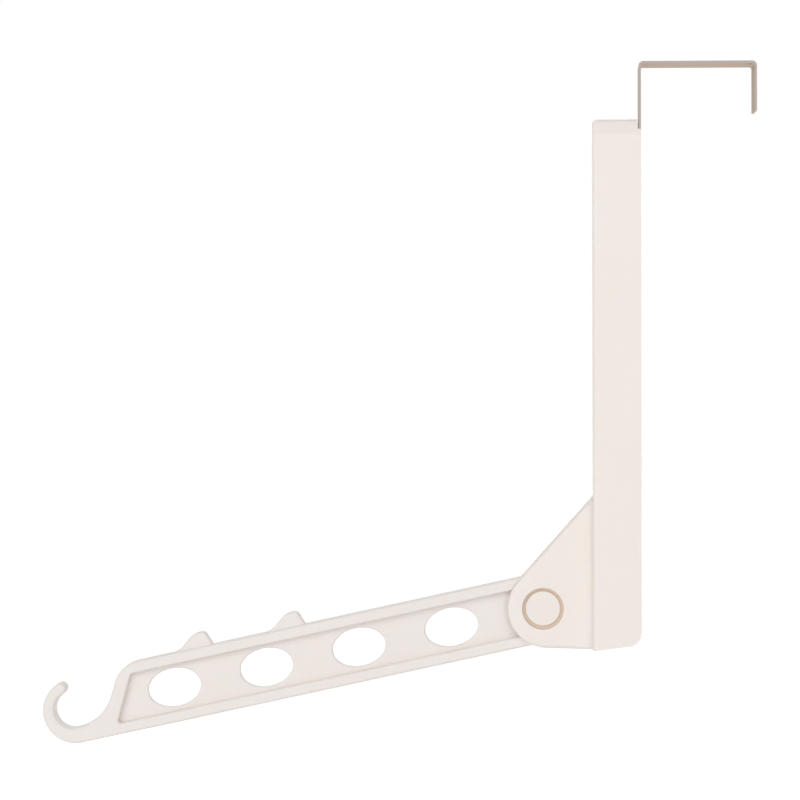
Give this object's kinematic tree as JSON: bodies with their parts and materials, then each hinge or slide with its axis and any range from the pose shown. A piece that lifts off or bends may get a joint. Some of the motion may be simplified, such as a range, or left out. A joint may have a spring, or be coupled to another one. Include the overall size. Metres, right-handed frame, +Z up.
{
  "type": "folding over-the-door hook",
  "caption": "Hook that hangs over the top of a door: a bent steel strip, a moulded bar and a fold-up arm with oval hanger holes, stop fins and an upturned end hook.",
  "frame": {"origin": "centre of the underside of the bracket's bridge, where it sits on the door's top edge", "axes": "+Z up, +X through the door towards its far side, -X towards the arm's hook, Y across the strip"},
  "size_m": [0.291, 0.028, 0.2768],
  "materials": {
    "housing_plastic": "satin moulded, cream",
    "arm_plastic": "satin moulded, cream",
    "pin_plastic": "satin moulded, cream",
    "strip_steel": "brushed along the strip",
    "screw_steel": "bright zinc"
  },
  "bodies": {
    "bar": {"housing": "housing_plastic", "pivot_pin": "pin_plastic", "pivot_cap": "pin_plastic", "door_bracket": "strip_steel", "bracket_screws": "screw_steel"},
    "arm": {"arm": "arm_plastic"}
  },
  "joints": [
    {"name": "arm_fold", "type": "hinge", "parent": "bar", "child": "arm", "pos_m": [-0.0626, 0, -0.2198], "axis": [0, 1, 0], "range_deg": [0, 102]}
  ]
}
